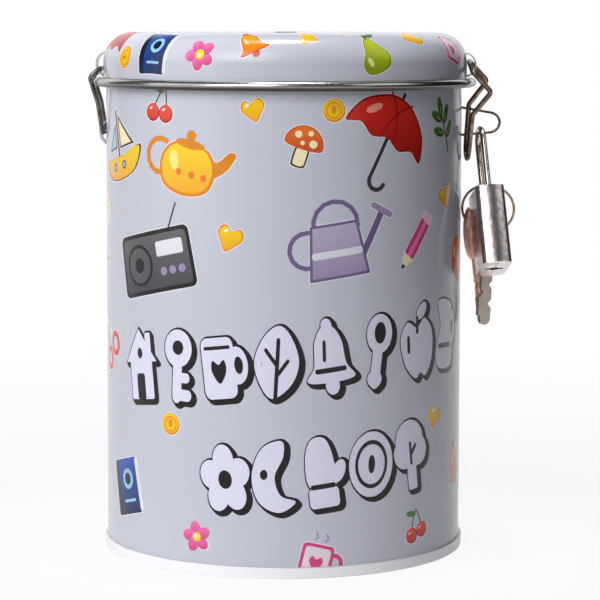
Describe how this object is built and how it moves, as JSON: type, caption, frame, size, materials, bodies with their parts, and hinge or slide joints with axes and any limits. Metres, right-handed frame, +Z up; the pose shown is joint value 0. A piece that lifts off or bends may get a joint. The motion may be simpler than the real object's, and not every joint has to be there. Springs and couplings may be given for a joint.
{
  "type": "lidded tin money box",
  "caption": "Round printed tin money box: slip lid with a coin slot on a wire hinge, held shut by a wire hasp over a staple with a small padlock and its keys on a ring.",
  "frame": {"origin": "on the tin's axis, at the surface it stands on", "axes": "+Z up, +X from the axis towards the hasp and padlock, +Y away from the viewer who sees the hasp on the right"},
  "size_m": [0.1008, 0.09, 0.1214],
  "materials": {
    "printed_tin": "gloss",
    "printed_lid": "gloss",
    "white_base": "gloss",
    "wire": "satin",
    "lock_case": "worn",
    "shackle_steel": "polished",
    "inner_steel": "satin",
    "spring_steel": "polished",
    "ring_steel": "polished",
    "copper_plate": "satin",
    "nickel_plate": "satin"
  },
  "bodies": {
    "tin": {"tin_body": "printed_tin", "base_plate": "white_base", "staple_wire": "wire"},
    "hinge_link": {"hinge_wire": "wire"},
    "lid": {"lid_shell": "printed_lid"},
    "hasp": {"hasp_wire": "wire"},
    "shackle": {"padlock_shackle": "shackle_steel"},
    "padlock": {"padlock_shell": "lock_case", "padlock_top_plate": "lock_case", "lock_block": "inner_steel", "latch_spring": "spring_steel", "shackle_spring": "spring_steel", "key_post": "inner_steel", "stop_pin": "inner_steel"},
    "latch": {"latch_plate": "inner_steel"},
    "ring": {"key_ring": "ring_steel"},
    "copper_key_body": {"copper_key": "copper_plate"},
    "nickel_key_body": {"nickel_key": "nickel_plate"}
  },
  "joints": [
    {"name": "hinge_link_swing", "type": "hinge", "parent": "tin", "child": "hinge_link", "pos_m": [-0.04255, 0, 0.0978], "axis": [0, -1, 0], "range_deg": [0, 26]},
    {"name": "lid_hinge", "type": "hinge", "parent": "hinge_link", "child": "lid", "pos_m": [-0.0432, 0, 0.1129], "axis": [0, -1, 0], "range_deg": [0, 75]},
    {"name": "hasp_swing", "type": "hinge", "parent": "lid", "child": "hasp", "pos_m": [0.0439, -0.00379, 0.11355], "axis": [0, -0.9848, -0.1736], "range_deg": [0, 3]},
    {"name": "padlock_sway", "type": "hinge", "parent": "tin", "child": "shackle", "pos_m": [0.0467, 0, 0.0977], "axis": [0.9958, 0, 0.0915], "range_deg": [-10, 40]},
    {"name": "padlock_release", "type": "slide", "parent": "shackle", "child": "padlock", "axis": [0.0847, -0.335, -0.9384], "range_m": [0, 0.005]},
    {"name": "latch_slide", "type": "slide", "parent": "padlock", "child": "latch", "axis": [-0.0804, 0.9364, -0.3416], "range_m": [0, 0.00181], "deforming": ["latch_spring"]},
    {"name": "ring_swing", "type": "hinge", "parent": "shackle", "child": "ring", "pos_m": [0.04849, -0.00088, 0.08545], "axis": [1, 0, 0], "range_deg": [0, 40]},
    {"name": "copper_key_swing", "type": "hinge", "parent": "ring", "child": "copper_key_body", "pos_m": [0.04491, 0.00328, 0.07519], "axis": [-0.937, 0.3401, -0.079], "range_deg": [-12, 3]},
    {"name": "nickel_key_swing", "type": "hinge", "parent": "ring", "child": "nickel_key_body", "pos_m": [0.04889, 0.00314, 0.07383], "axis": [-0.6447, 0.7642, -0.0197], "range_deg": [-15, 3]}
  ],
  "couplings": [
    {"joint": "hinge_link_swing", "follows": "lid_hinge", "ratio": 0.33333},
    {"joint": "latch_slide", "follows": "padlock_release", "ratio": 0.36}
  ]
}
